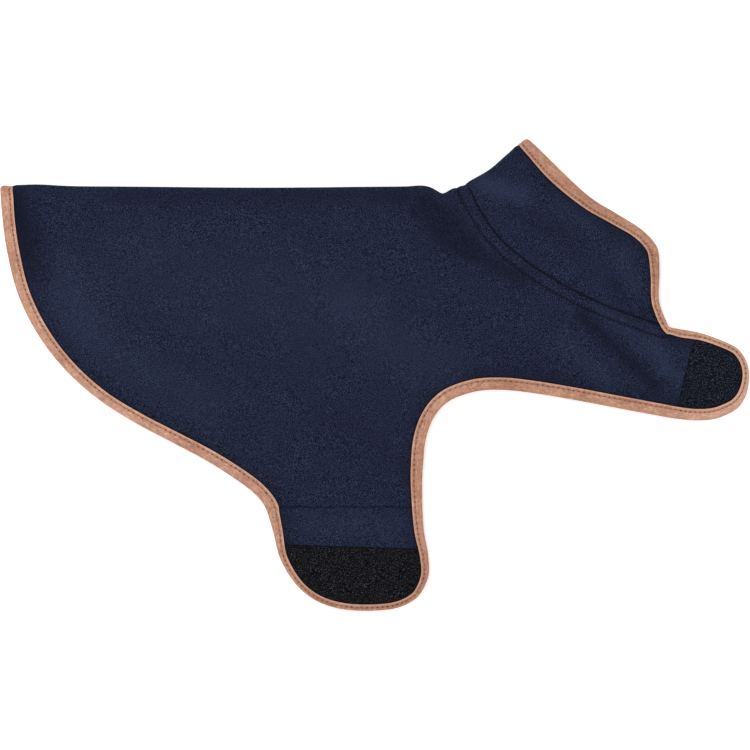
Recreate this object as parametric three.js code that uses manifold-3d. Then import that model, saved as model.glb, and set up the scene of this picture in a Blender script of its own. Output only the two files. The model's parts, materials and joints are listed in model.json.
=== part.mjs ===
// A fleece dog coat lying folded in half along its back, right half on top.
//
// Both halves are cut to one pattern. Pattern x runs forward from the withers, where the neck seam meets
// the fold, and pattern y is zero on the fold of the back and falls towards the belly. Each half carries
// a belly strap and a chest strap, closed by hook and loop pads, and every cut edge is bound.
// Units are millimetres, +X is the head end, +Y the back, +Z up. The coat lies on z = 0.

import * as THREE from 'three';
import { mergeVertices } from 'three/addons/utils/BufferGeometryUtils.js';
import Module from 'manifold-3d';

const wasm = await Module();
wasm.setup();

// ---- driving dimensions: the pattern ----
const BACK_LENGTH = 413; // tail edge to the withers
const BELLY_SEAM_DROP = 289; // fold of the back to the belly strap's seam
const BELLY_STRAP_WIDTH = 141; // at the seam, over its bindings
const BELLY_STRAP_LENGTH = 93.5; // seam to tip
const BELLY_STRAP_SETBACK = 34; // withers back to the strap's front edge
const LEG_ARCH_DROP = 185; // fold of the back to the top of the leg arch
const CHEST_DROP = 127; // fold of the back to the corner under the collar
const CHEST_FRONT = 189; // withers forward to the same corner
const CHEST_STRAP_LENGTH = 72; // that corner forward to the strap's tip
const CHEST_STRAP_WIDTH = 74; // upper edge to lower edge, over its bindings
const CHEST_FOLD_TILT = 14; // degrees the strap's fold line leans back from upright
const COLLAR_FRONT = 180; // withers forward to the collar's front edge
const COLLAR_CORNER_DROP = 57; // fold of the back down to the start of the collar's rounded corner
const NAPE_LENGTH = 76; // fold of the collar, withers to its top edge
const NAPE_RISE = 35.5; // degrees between the fold of the back and the fold of the collar

// ---- driving dimensions: cloth, bindings, seams and pads ----
const FLEECE = 2.5; // thickness of the cloth
const BINDING_FLANGE = 0.45; // thickness of the tape on each face
const BINDING_WALL = 0.8; // thickness of the tape round the cut edge
const BINDING_WIDE = 11; // tape on the tail and the leg arch
const BINDING_MID = 9.4; // tape on the hem and the collar's top
const BINDING_NARROW = 5.6; // tape pulled round the strap tips
const STITCH_INSET = 2.9; // stitch line in from the tape's inner edge
const THREAD = 0.6; // thread width
const THREAD_HEIGHT = 0.25;
const SEAM_WIDTH = 10; // felled neck seam
const SEAM_RAISE = 0.6; // how far it stands proud of the outer face
const BELLY_ALLOWANCE = [9, 0.6]; // turned-in allowance of the belly strap's seam, width and thickness
const BELLY_PAD_INSET = 34.5; // seam to the belly pad's straight edge
const BELLY_PAD_TILT = -2; // degrees
const CHEST_PAD_INSET = 22.7; // chest fold line to the chest pad's straight edge
const LOOP_PAD = 1.6; // thickness of the soft pad
const HOOK_PAD = 1.3; // thickness of the hooked pad
const LAYER_GAP = 0.8; // between the bindings of the two halves
const HINGE_DROP = 27; // fold of the back to the line where the right half opens
const CLEAR = 0.3; // between pieces that touch
const PAD_RELIEF = 0.1; // between a thread and the tape it lies on

// ---- what follows from them ----
const BINDING_THICK = FLEECE + 2 * (CLEAR + BINDING_FLANGE);
const LOW = BINDING_THICK / 2; // middle of the left half's cloth
const HIGH = LOW + BINDING_THICK + LAYER_GAP; // middle of the right half's cloth
const FOLD_MIDDLE = (LOW + HIGH) / 2;
const FOLD_RADIUS = (HIGH - LOW) / 2; // middle of the cloth round the fold
const FOLD_OUTER = FOLD_RADIUS + FLEECE / 2;
const EDGE_INSET = BINDING_WALL + CLEAR; // tape's outer edge to the cloth inside it
const FAR = 1500; // beyond any piece
const ARC_STEP = 12; // degrees between points on a round edge
const LONG_STEP = 45; // millimetres between points on a nearly straight one

const rad = THREE.MathUtils.degToRad;
const NAPE_TIP = [NAPE_LENGTH * Math.cos(rad(NAPE_RISE)), NAPE_LENGTH * Math.sin(rad(NAPE_RISE))];
const STRAP_REAR = -BELLY_STRAP_SETBACK - BELLY_STRAP_WIDTH;
const STRAP_TIP = -BELLY_SEAM_DROP - BELLY_STRAP_LENGTH;
const CHEST_TIP = CHEST_FRONT + CHEST_STRAP_LENGTH;
const CHEST_TOP = -CHEST_DROP - 9; // the strap's upper edge falls a little from the corner
const CHEST_BOTTOM = CHEST_TOP - CHEST_STRAP_WIDTH;

// ---- the pattern's bound edge, tail to nape: [x, y, heading in degrees, tape width] ----
const skirtEdge = [
  [-BACK_LENGTH, 0, 270, BINDING_WIDE],
  [-BACK_LENGTH + 6, -0.2 * BELLY_SEAM_DROP, 278, BINDING_WIDE],
  [-BACK_LENGTH + 90, -0.668 * BELLY_SEAM_DROP, 324, BINDING_MID],
  [STRAP_REAR - 16, -BELLY_SEAM_DROP + 18, 322, BINDING_WIDE],
  [STRAP_REAR, -BELLY_SEAM_DROP + 1, 300, BINDING_WIDE],
  [STRAP_REAR + 13, STRAP_TIP + 50, 291, BINDING_NARROW + 1],
  [STRAP_REAR + 33, STRAP_TIP + 19, 316, BINDING_NARROW],
  [-BELLY_STRAP_SETBACK - 32, STRAP_TIP + 1, 5, BINDING_NARROW],
  [-BELLY_STRAP_SETBACK - 2, STRAP_TIP + 14, 46, BINDING_NARROW],
  [-BELLY_STRAP_SETBACK, -BELLY_SEAM_DROP, 90, BINDING_MID],
  [-BELLY_STRAP_SETBACK + 2, -LEG_ARCH_DROP - 0.59 * (BELLY_SEAM_DROP - LEG_ARCH_DROP), 88, BINDING_WIDE],
  [-BELLY_STRAP_SETBACK + 28, -LEG_ARCH_DROP - 7, 28, BINDING_WIDE],
  [-BELLY_STRAP_SETBACK + 98, -LEG_ARCH_DROP - 1, 352, BINDING_WIDE],
  [CHEST_FRONT - 8, CHEST_BOTTOM + 3, 350, BINDING_WIDE],
  [CHEST_TIP - 13, CHEST_BOTTOM + 8, 35, BINDING_MID],
  [CHEST_TIP, CHEST_BOTTOM + 39, 90, BINDING_NARROW],
  [CHEST_TIP - 12, CHEST_TOP - 9, 143, BINDING_NARROW],
  [CHEST_FRONT, -CHEST_DROP, 166, BINDING_NARROW + 1],
];
const collarEdge = [
  [CHEST_FRONT, -CHEST_DROP, 116, BINDING_NARROW + 1],
  [COLLAR_FRONT, -CHEST_DROP + 24, 102, BINDING_NARROW + 1],
  [COLLAR_FRONT - 1, -COLLAR_CORNER_DROP, 112, BINDING_MID],
  [COLLAR_FRONT - 20, -COLLAR_CORNER_DROP + 21, 145, BINDING_MID],
  [COLLAR_FRONT - 62, -COLLAR_CORNER_DROP + 47, 144, BINDING_WIDE],
  [...NAPE_TIP, NAPE_RISE + 90, BINDING_WIDE],
];
// the neck seam's ditch, withers to the corner under the collar
const neckLine = [
  [8, 0, -64, 0],
  [0.195 * CHEST_FRONT, -0.37 * CHEST_DROP, -47, 0],
  [0.48 * CHEST_FRONT, -0.685 * CHEST_DROP, -31, 0],
  [CHEST_FRONT - 4, -CHEST_DROP + 0.8, -18, 0],
];

// ---- curves and regions of the pattern ----

/** Points along a run of landmarks, each joined to the next by an arc-like curve: [x, y, width]. */
function trace(landmarks) {
  const points = [];
  for (let i = 0; i + 1 < landmarks.length; i += 1) {
    const [x0, y0, from, w0] = landmarks[i];
    const [x1, y1, to, w1] = landmarks[i + 1];
    const turn = ((to - from + 540) % 360) - 180;
    const chord = Math.hypot(x1 - x0, y1 - y0);
    const reach = chord / (3 * Math.cos(rad(turn / 4)) ** 2);
    const curve = new THREE.CubicBezierCurve(
      new THREE.Vector2(x0, y0),
      new THREE.Vector2(x0 + reach * Math.cos(rad(from)), y0 + reach * Math.sin(rad(from))),
      new THREE.Vector2(x1 - reach * Math.cos(rad(to)), y1 - reach * Math.sin(rad(to))),
      new THREE.Vector2(x1, y1),
    );
    const steps = Math.max(2, Math.ceil(Math.abs(turn) / ARC_STEP), Math.ceil(chord / LONG_STEP));
    curve.getPoints(steps).forEach((p, k) => {
      if (k > 0 || i === 0) points.push([p.x, p.y, w0 + (w1 - w0) * (k / steps)]);
    });
  }
  return points;
}

/** A run of points moved to its left by a distance that may depend on the tape's width. */
function inset(points, distance) {
  const normal = (a, b) => {
    const length = Math.hypot(b[0] - a[0], b[1] - a[1]);
    return [-(b[1] - a[1]) / length, (b[0] - a[0]) / length];
  };
  return points.map((p, i) => {
    const before = normal(points[Math.max(i - 1, 0)], points[Math.max(i, 1)]);
    const last = points.length - 1;
    const after = normal(points[Math.min(i, last - 1)], points[Math.min(i + 1, last)]);
    const miter = distance(p[2]) / (1 + before[0] * after[0] + before[1] * after[1]);
    return [p[0] + (before[0] + after[0]) * miter, p[1] + (before[1] + after[1]) * miter];
  });
}

const edge = [...trace(skirtEdge), ...trace(collarEdge).slice(1)];
const ditch = trace(neckLine);

/** The coat's half, its bound edge moved in, closed along the two folds or far above them. */
function halfRegion(distance, pastFolds = false) {
  const run = inset(edge, distance);
  if (pastFolds) return [...run, [NAPE_TIP[0], FAR], [-BACK_LENGTH, FAR]];
  return [...run, [0, 0]];
}

/** The side of the neck seam that holds the collar, its boundary moved towards the body. */
function collarRegion(shift) {
  const line = inset(ditch, () => -shift);
  const [x0, y0] = line[0];
  const [x1, y1] = line[line.length - 1];
  const lean = 60 / Math.tan(rad(-neckLine[0][2]));
  return [[x0 - lean, y0 + 60], ...line, [x1 + FAR, y1], [x1 + FAR, FAR], [x0 - lean, FAR]];
}

// ---- solids ----

function toSolid(geometry) {
  geometry.deleteAttribute('normal');
  geometry.deleteAttribute('uv');
  const merged = mergeVertices(geometry, 1e-4);
  return new wasm.Manifold(new wasm.Mesh({
    numProp: 3,
    vertProperties: new Float32Array(merged.attributes.position.array),
    triVerts: new Uint32Array(merged.index.array),
  }));
}

function toGeometry(solid) {
  const mesh = solid.getMesh();
  const geometry = new THREE.BufferGeometry();
  geometry.setAttribute('position', new THREE.BufferAttribute(new Float32Array(mesh.vertProperties), 3));
  geometry.setIndex(new THREE.BufferAttribute(new Uint32Array(mesh.triVerts), 1));
  geometry.computeVertexNormals();
  return geometry;
}

/** A flat region of the pattern, raised from one height to another. */
function prism(points, bottom, top) {
  const shape = new THREE.Shape(points.map(([x, y]) => new THREE.Vector2(x, y)));
  const geometry = new THREE.ExtrudeGeometry(shape, { depth: top - bottom, bevelEnabled: false });
  geometry.translate(0, 0, bottom);
  return toSolid(geometry);
}

/** Everything to the left of a line through a point, the line moved to its left by a distance. */
function leftOf([x, y], degrees, shift = 0) {
  const along = [Math.cos(rad(degrees)), Math.sin(rad(degrees))];
  const across = [-along[1], along[0]];
  const at = (a, b) => [x + along[0] * a + across[0] * b, y + along[1] * a + across[1] * b];
  return prism([at(-FAR, shift), at(FAR, shift), at(FAR, FAR), at(-FAR, FAR)], -FAR / 10, FAR / 10);
}

/** A half ring round the fold of the back, its outside facing +Y, between two places along the fold. */
function foldRing(inner, outer, from, to) {
  const shape = new THREE.Shape();
  const quarter = Math.PI / 2;
  shape.absarc(-FOLD_OUTER, FOLD_MIDDLE, outer, -quarter, quarter, false);
  shape.absarc(-FOLD_OUTER, FOLD_MIDDLE, inner, quarter, -quarter, true);
  const settings = { depth: to - from, bevelEnabled: false, curveSegments: 7 };
  const geometry = new THREE.ExtrudeGeometry(shape, settings);
  const [x, y, z] = [new THREE.Vector3(1, 0, 0), new THREE.Vector3(0, 1, 0), new THREE.Vector3(0, 0, 1)];
  geometry.applyMatrix4(new THREE.Matrix4().makeBasis(y, z, x));
  geometry.translate(from, 0, 0);
  return toSolid(geometry);
}

const onNape = (solid) => solid.rotate([0, 0, NAPE_RISE]);
const within = (solid, ...limits) => limits.reduce((rest, limit) => rest.intersect(limit), solid);

// ---- the lines that divide the coat ----
const seamPoint = [0, -BELLY_SEAM_DROP];
const chestPoint = [CHEST_FRONT + 1, -CHEST_DROP - 1];
const half = CLEAR / 2;
const belowSeam = leftOf(seamPoint, 180, half);
const aboveSeam = leftOf(seamPoint, 0, half);
const onChestStrap = leftOf(chestPoint, -90 - CHEST_FOLD_TILT, half);
const behindChestFold = leftOf(chestPoint, 90 - CHEST_FOLD_TILT, half);
const aboveHinge = leftOf([0, -HINGE_DROP], 0, half);
const belowHinge = leftOf([0, -HINGE_DROP], 180, half);
const rearward = leftOf([(STRAP_REAR - BELLY_STRAP_SETBACK) / 2, 0], 90);
const forward = leftOf([(STRAP_REAR - BELLY_STRAP_SETBACK) / 2, 0], -90);
const upperFront = leftOf([0, (-CHEST_DROP - LEG_ARCH_DROP) / 2], 0);
const lowerFront = leftOf([0, (-CHEST_DROP - LEG_ARCH_DROP) / 2], 180);
const underBackFold = leftOf([0, -FOLD_OUTER], 180, CLEAR);
const napeFoot = [FOLD_OUTER * Math.sin(rad(NAPE_RISE)), -FOLD_OUTER * Math.cos(rad(NAPE_RISE))];
const underNapeFold = leftOf(napeFoot, NAPE_RISE + 180, CLEAR);
const ofCollar = prism(collarRegion(-CLEAR), -FAR / 10, FAR / 10);
const pastTopstitch = prism(collarRegion(SEAM_WIDTH), -FAR / 10, FAR / 10);
const pastBody = prism(collarRegion(SEAM_WIDTH + CLEAR), -FAR / 10, FAR / 10);
const pastDitch = prism(collarRegion(0), -FAR / 10, FAR / 10);

// ---- materials ----
const finish = (color, roughness) => new THREE.MeshStandardMaterial({ color, roughness, metalness: 0 });
const materials = {
  fleece: finish(0x2a3346, 0.95),
  suede: finish(0xb28266, 0.85),
  pad: finish(0x1c1d20, 1),
  thread: finish(0x9c6b52, 0.7),
};

const coat = new THREE.Group();

function body(name) {
  const group = new THREE.Group();
  group.name = `${name}_group`;
  coat.add(group);
  return (node, solid, material) => {
    const mesh = new THREE.Mesh(toGeometry(solid), materials[material]);
    mesh.name = node;
    group.add(mesh);
  };
}

const root = body('root');
const rightSide = body('right_side');
const straps = {
  left: { belly: body('left_belly_strap'), chest: body('left_chest_strap') },
  right: { belly: body('right_belly_strap'), chest: body('right_chest_strap') },
};

// ---- sheets of one half, full size, at the height of its layer ----
function layer(middle) {
  const [under, over] = [middle - FLEECE / 2, middle + FLEECE / 2];
  const cloth = prism(halfRegion(() => EDGE_INSET), under, over);
  const bare = prism(halfRegion((width) => width + CLEAR), -FAR / 10, FAR / 10);
  const outside = prism(halfRegion(() => 0), middle - BINDING_THICK / 2, middle + BINDING_THICK / 2);
  const slotHalf = FLEECE / 2 + CLEAR;
  const slot = prism(halfRegion(() => BINDING_WALL, true), middle - slotHalf, middle + slotHalf);
  const middleCut = prism(halfRegion((width) => width, true), -FAR / 10, FAR / 10);
  const tape = outside.subtract(middleCut).subtract(slot);
  const threadBottom = middle + BINDING_THICK / 2 + PAD_RELIEF;
  const threadTop = threadBottom + THREAD_HEIGHT;
  const outerRun = halfRegion((width) => width - STITCH_INSET - THREAD / 2);
  const innerRun = halfRegion((width) => width - STITCH_INSET + THREAD / 2, true);
  const thread = prism(outerRun, threadBottom, threadTop).subtract(prism(innerRun, -FAR / 10, FAR / 10));
  return { under, over, cloth, bare, tape, thread };
}

/** The bound edge divided where the straps fold: each stretch of tape with its thread on top. */
const stretches = {
  hem: [aboveSeam, rearward],
  belly: [belowSeam],
  leg: [aboveSeam, forward, behindChestFold, lowerFront],
  chest: [onChestStrap],
  collar: [behindChestFold, upperFront, forward],
};

function addHalf(side, middle, inward, place, topLimits) {
  const sheet = layer(middle);
  const raise = inward > 0 ? [SEAM_RAISE, 0] : [0, SEAM_RAISE];
  const seamStrip = prism(halfRegion((width) => width + CLEAR), sheet.under - raise[0], sheet.over + raise[1])
    .intersect(pastTopstitch).subtract(pastDitch);
  const inBody = (solid) => within(solid, aboveSeam, behindChestFold).subtract(pastBody);

  // cloth
  place(`${side}_body_panel`, within(inBody(sheet.cloth), ...topLimits.back), 'fleece');
  place(`${side}_collar`, within(sheet.cloth, ofCollar, behindChestFold, ...topLimits.nape), 'fleece');
  place(`${side}_neck_seam`, within(seamStrip, behindChestFold, ...topLimits.back), 'fleece');
  straps[side].belly(`${side}_belly_strap`, sheet.cloth.intersect(belowSeam), 'fleece');
  straps[side].chest(`${side}_chest_strap`, sheet.cloth.intersect(onChestStrap), 'fleece');

  // the belly seam's allowance, turned up behind the body panel
  const [width, thick] = BELLY_ALLOWANCE;
  const allowanceTop = seamPoint[1] + width;
  const inner = inward > 0 ? sheet.over + CLEAR : sheet.under - CLEAR - thick;
  const allowanceFoot = seamPoint[1] + CLEAR;
  const strip = [[-FAR, allowanceFoot], [FAR, allowanceFoot], [FAR, allowanceTop], [-FAR, allowanceTop]];
  const allowance = prism(strip, inner, inner + thick);
  place(`${side}_belly_seam_allowance`, within(allowance, sheet.bare, lowerFront), 'fleece');

  // tape and thread
  for (const [stretch, limits] of Object.entries(stretches)) {
    const onFold = { hem: topLimits.back, collar: topLimits.nape }[stretch] ?? [];
    const add = straps[side][stretch] ?? place;
    add(`${side}_${stretch}_binding`, within(sheet.tape, ...limits, ...onFold), 'suede');
    add(`${side}_${stretch}_stitching`, within(sheet.thread, ...limits, ...onFold), 'thread');
  }

  // hooks face the other half, loops face out
  const thickness = inward > 0 ? HOOK_PAD : LOOP_PAD;
  const kind = inward > 0 ? 'hook' : 'loop';
  const padSolid = within(sheet.bare, prism([[-FAR, -FAR], [FAR, -FAR], [FAR, FAR], [-FAR, FAR]],
    sheet.over + CLEAR, sheet.over + CLEAR + thickness));
  const bellyEdge = leftOf([(STRAP_REAR - BELLY_STRAP_SETBACK) / 2, seamPoint[1] - BELLY_PAD_INSET],
    180 + BELLY_PAD_TILT);
  const chestEdge = leftOf(chestPoint, -90 - CHEST_FOLD_TILT, CHEST_PAD_INSET);
  straps[side].belly(`${side}_belly_${kind}_pad`, padSolid.intersect(bellyEdge), 'pad');
  straps[side].chest(`${side}_chest_${kind}_pad`, padSolid.intersect(chestEdge), 'pad');

  return { cloth: sheet.cloth, tape: sheet.tape, thread: sheet.thread, seamStrip };
}

const rightLimits = { back: [belowHinge], nape: [belowHinge] };
const leftLimits = { back: [underBackFold], nape: [underNapeFold] };
addHalf('left', LOW, 1, root, leftLimits);
const upper = addHalf('right', HIGH, -1, rightSide, rightLimits);

// ---- what stays closed: both folds, and the strip of the upper layer along them ----
const reach = FLEECE / 2;
const clothRing = (from, to) => foldRing(FOLD_RADIUS - reach, FOLD_RADIUS + reach, from, to);
root('back_fold', clothRing(-BACK_LENGTH + EDGE_INSET, 60).subtract(pastBody), 'fleece');
root('right_back_strip', within(upper.cloth, aboveHinge, underBackFold).subtract(pastBody), 'fleece');
root('nape_fold', onNape(clothRing(-60, NAPE_LENGTH - EDGE_INSET)).intersect(ofCollar), 'fleece');
root('right_collar_top', within(upper.cloth, aboveHinge, underNapeFold, ofCollar), 'fleece');
root('neck_seam_fold', clothRing(-60, 60).intersect(pastTopstitch).subtract(pastDitch), 'fleece');
root('right_neck_seam_top', within(upper.seamStrip, aboveHinge, underBackFold), 'fleece');

/** Tape round a fold: a half ring with a slot for the cloth, open on its inner side. */
function tapeRing(edgeAt, width, direction) {
  const span = (from, to) => [edgeAt + direction * from, edgeAt + direction * to].sort((a, b) => a - b);
  const slotHalf = FLEECE / 2 + CLEAR;
  return foldRing(FOLD_RADIUS - BINDING_THICK / 2, FOLD_RADIUS + BINDING_THICK / 2, ...span(0, width))
    .subtract(foldRing(FOLD_RADIUS - slotHalf, FOLD_RADIUS + slotHalf, ...span(BINDING_WALL, 2 * width)));
}

root('tail_fold_binding', tapeRing(-BACK_LENGTH, BINDING_WIDE, 1), 'suede');
root('right_tail_binding', within(upper.tape, aboveHinge, rearward, underBackFold), 'suede');
root('right_tail_stitching', within(upper.thread, aboveHinge, rearward, underBackFold), 'thread');
root('nape_fold_binding', onNape(tapeRing(NAPE_LENGTH, BINDING_WIDE, -1)), 'suede');
root('right_nape_binding', within(upper.tape, aboveHinge, forward, underNapeFold), 'suede');
root('right_nape_stitching', within(upper.thread, aboveHinge, forward, underNapeFold), 'thread');

// ---- the coat's origin is under the middle of its outline ----
const bounds = new THREE.Box3().setFromObject(coat, true);
const centre = bounds.getCenter(new THREE.Vector3());
coat.position.set(-centre.x, -centre.y, -bounds.min.z);

export default coat;
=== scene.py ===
"""Looks of a fleece dog coat that lies folded in half along its back, its right half on top.

Lengths are millimetres until a mesh is made. Both halves are cut to one pattern, so its lines are read once
from the right half's CAD nodes, drawn smooth, and used for the cloth, tape, thread and pads of both halves.
"""

import json
import math

import bpy
import numpy as np
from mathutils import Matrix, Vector
from mathutils.geometry import delaunay_2d_cdt
from mathutils.kdtree import KDTree

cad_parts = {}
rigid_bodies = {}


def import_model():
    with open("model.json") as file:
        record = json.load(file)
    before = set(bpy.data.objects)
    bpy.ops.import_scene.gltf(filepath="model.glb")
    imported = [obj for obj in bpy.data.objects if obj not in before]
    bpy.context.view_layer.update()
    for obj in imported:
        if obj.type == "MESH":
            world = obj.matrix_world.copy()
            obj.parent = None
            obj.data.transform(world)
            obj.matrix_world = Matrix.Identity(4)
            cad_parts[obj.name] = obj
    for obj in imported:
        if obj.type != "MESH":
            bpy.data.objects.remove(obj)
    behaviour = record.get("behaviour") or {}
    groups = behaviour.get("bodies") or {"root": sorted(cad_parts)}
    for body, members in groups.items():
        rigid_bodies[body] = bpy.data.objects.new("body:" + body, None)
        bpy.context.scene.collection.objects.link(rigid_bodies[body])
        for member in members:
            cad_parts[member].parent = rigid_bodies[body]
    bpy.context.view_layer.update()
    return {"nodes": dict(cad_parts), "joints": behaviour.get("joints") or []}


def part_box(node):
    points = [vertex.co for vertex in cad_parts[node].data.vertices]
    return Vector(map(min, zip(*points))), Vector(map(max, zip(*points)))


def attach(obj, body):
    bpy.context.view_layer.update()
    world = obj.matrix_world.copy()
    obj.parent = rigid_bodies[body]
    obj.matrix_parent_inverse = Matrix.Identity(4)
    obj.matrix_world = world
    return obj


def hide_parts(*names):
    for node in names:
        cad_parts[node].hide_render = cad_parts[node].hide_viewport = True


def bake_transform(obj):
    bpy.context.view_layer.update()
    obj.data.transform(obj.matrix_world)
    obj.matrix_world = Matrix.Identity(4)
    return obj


for leftover in list(bpy.data.objects):
    bpy.data.objects.remove(leftover)
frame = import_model()
MM = 0.001

# ---- camera, straight above ----
FRAME_WIDTH = 0.675
camera_data = bpy.data.cameras.new("camera")
camera_data.lens, camera_data.sensor_width = 200, 36
camera = bpy.data.objects.new("camera", camera_data)
camera.location = (0.0004, -0.0013, 0.007 + FRAME_WIDTH * camera_data.lens / camera_data.sensor_width)
bpy.context.scene.collection.objects.link(camera)
bpy.context.scene.camera = camera

# ---- cloth ----
CLOTH_HALF = 1.25  # from the middle of the cloth to its brushed face
PINCHED_HALF = 0.62  # where the tape grips it
CLOTH_UNDER_TAPE = 1.2  # from the tape's outer edge in to the cloth's
GRID = 3.6  # between points on open cloth
ROW_STEP = 1.9  # between points along a seam or an edge
BEND = 10.0  # length of cloth that bends at a fold line
FOLD_ROWS = 10
UPPER_SAG = 0.9  # how far each layer settles between its thick edges
LOWER_SAG = 0.7
DITCH = 0.72  # share of the cloth's thickness that a seam takes away
DITCH_WIDTH = 1.0
EDGE_STITCH = 2.6  # from the neck's seam to the first row of its stitching

# ---- tape and thread ----
STITCH_INSET = 2.9  # from the tape's inner edge to its stitching
STITCH_PITCH = 4.7
COLLAR_PITCH = 3.8
NECK_PITCH = 3.6
THREAD_RADIUS = 0.28
TAPE_THICK = 0.5
NOTCH_PINCH = 1.8  # how much narrower in the notch between the chest strap and the collar
NOTCH_SPREAD = 9.0
TURN_IN = 11.0  # distance from a fold line in which the tape's cross-section turns into it
TAIL_ROUND = 2.5  # radius of the tape's corner past the fold, at the tail and at the nape
NAPE_ROUND = 4.5
TAPE_STEPS = 4  # stations for each stitch

# ---- pads ----
PAD_RISE = 1.25
PAD_GRID = 2.6
PAD_MARGIN = 0.5  # between the tape's inner edge and the pad
PAD_SUNK = 0.35  # how far its underside presses into the pile
PAD_ROUND = 1.9  # width of its rounded rim


# ---- Plane geometry ----

def along(points):
    """Distance from the start to each point of a run."""
    return np.r_[0.0, np.cumsum(np.linalg.norm(np.diff(points, axis=0), axis=1))]


def at_distances(values, run, distances):
    return np.stack([np.interp(distances, run, column) for column in values.T], axis=1)


def resample(points, step):
    run = along(points)
    return at_distances(points, run, np.linspace(0, run[-1], max(2, round(run[-1] / step) + 1)))


def spline(points, step):
    """A centripetal Catmull-Rom curve through the points, sampled evenly."""
    p = np.vstack([2 * points[0] - points[1], points, 2 * points[-1] - points[-2]])
    fine = []
    for i in range(1, len(p) - 2):
        t0, t1, t2, t3 = np.r_[0.0, np.cumsum([math.dist(p[i + k], p[i + k - 1]) ** 0.5 for k in (0, 1, 2)])]
        t = np.linspace(t1, t2, 9, endpoint=False)[:, None]

        def between(a, b, at_a, at_b):
            return ((at_b - t) * a + (t - at_a) * b) / (at_b - at_a)

        a, b, c = between(p[i - 1], p[i], t0, t1), between(p[i], p[i + 1], t1, t2), between(p[i + 1], p[i + 2], t2, t3)
        fine.append(between(between(a, b, t0, t2), between(b, c, t1, t3), t1, t2))
    return resample(np.vstack([*fine, points[-1]]), step)


def smooth_run(points, step=1.0, corner=28.0):
    """A run drawn smooth, except where it turns by more than a corner's angle in degrees."""
    d = np.diff(points, axis=0)
    heading = np.degrees(np.unwrap(np.arctan2(d[:, 1], d[:, 0])))
    breaks = [0, *(1 + i for i in np.flatnonzero(np.abs(np.diff(heading)) > corner)), len(points) - 1]
    parts = [spline(points[a:b + 1], step) for a, b in zip(breaks, breaks[1:])]
    return np.vstack([parts[0], *(part[1:] for part in parts[1:])])


def soften(values, step, width, ends=None):
    """Values along a run, averaged over a bell of the given width; ends holds what lies past each end."""
    half = int(3 * width / step)
    weights = np.exp(-0.5 * (np.arange(-half, half + 1) * step / width) ** 2)
    first, last = ends if ends is not None else (values[0], values[-1])
    padded = np.vstack([np.tile(first, (half, 1)), values, np.tile(last, (half, 1))])
    return np.stack([np.convolve(column, weights / weights.sum(), "valid") for column in padded.T], axis=1)


def unit(vectors):
    return vectors / np.linalg.norm(vectors, axis=1)[:, None]


def left_normals(points):
    """Unit normals to the left of a run."""
    d = np.gradient(points, axis=0)
    return unit(np.stack([-d[:, 1], d[:, 0]], axis=1))


def distance_to(points, run):
    """Distance from each point to a run."""
    best = np.full(len(points), 1e9)
    for a, b in zip(run[:-1], run[1:]):
        ab = b - a
        t = np.clip(((points - a) @ ab) / max(ab @ ab, 1e-12), 0, 1)
        best = np.minimum(best, np.hypot(*(points - a - t[:, None] * ab).T))
    return best


def inside(points, polygon):
    """Whether each point lies in a polygon, by counting crossings."""
    x, y = points.T
    hits = np.zeros(len(points), bool)
    for (x0, y0), (x1, y1) in zip(polygon, np.roll(polygon, -1, axis=0)):
        if y0 != y1:
            crosses = (y0 > y) != (y1 > y)
            hits ^= crosses & (x < (x1 - x0) * (y - y0) / (y1 - y0) + x0)
    return hits


def smoothstep(low, high, value):
    t = np.clip((value - low) / (high - low), 0, 1)
    return t * t * (3 - 2 * t)


def bell(value, width):
    return np.exp(-((value / width) ** 2))


def tree_of(points):
    tree = KDTree(len(points))
    for i, p in enumerate(points):
        tree.insert((p[0], p[1], 0.0), i)
    tree.balance()
    return tree


def nearest(points, tree):
    return np.array([tree.find((p[0], p[1], 0.0))[2] for p in points])


def signed_areas(corners):
    u, v = corners[:, 1] - corners[:, 0], corners[:, 2] - corners[:, 0]
    return (u[:, 0] * v[:, 1] - u[:, 1] * v[:, 0]) / 2


def triangulate(lines, scattered, outline):
    """Triangles of a plane region, with every line kept as edges. Points are dropped where they would crowd."""
    points, edges = [], []
    for line in lines:
        first = len(points)
        points.extend(line)
        edges.extend((i, i + 1) for i in range(first, len(points) - 1))
    accepted = np.array(points)
    for rows, gap in scattered:
        rows = rows[inside(rows, outline)]
        kept = rows[nearest(rows, tree_of(accepted)) > gap]
        accepted = np.vstack([accepted, kept])
    verts, _, faces, *_ = delaunay_2d_cdt([Vector(p) for p in accepted], edges, [], 0, 1e-4)
    verts = np.array([tuple(v) for v in verts])
    faces = np.array([tuple(f) for f in faces if len(f) == 3])
    corners = verts[faces]
    area = signed_areas(corners)
    faces = np.where((area > 0)[:, None], faces, faces[:, ::-1])
    keep = inside(corners.mean(axis=1), outline) & (np.abs(area) > 1e-5)
    return verts, faces[keep]


# ---- The pattern's lines, read from the CAD nodes ----

def top_outline(node):
    """The edge of a CAD node's highest flat face, counterclockwise, in millimetres."""
    mesh = frame["nodes"][node].data
    mesh.calc_loop_triangles()
    place = [tuple(round(c / MM, 2) for c in v.co) for v in mesh.vertices]
    top = max(p[2] for p in place)
    edges = set()
    for triangle in mesh.loop_triangles:
        corners = [place[i] for i in triangle.vertices]
        if min(c[2] for c in corners) > top - 0.02:
            edges |= {(corners[k][:2], corners[(k + 1) % 3][:2]) for k in range(3)}
    following = {a: b for a, b in edges if (b, a) not in edges}
    start = min(following)
    loop = [start]
    while following[loop[-1]] != start:
        loop.append(following[loop[-1]])
    return np.array(loop)


def box(node):
    low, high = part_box(node)
    return np.array(low) / MM, np.array(high) / MM


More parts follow.
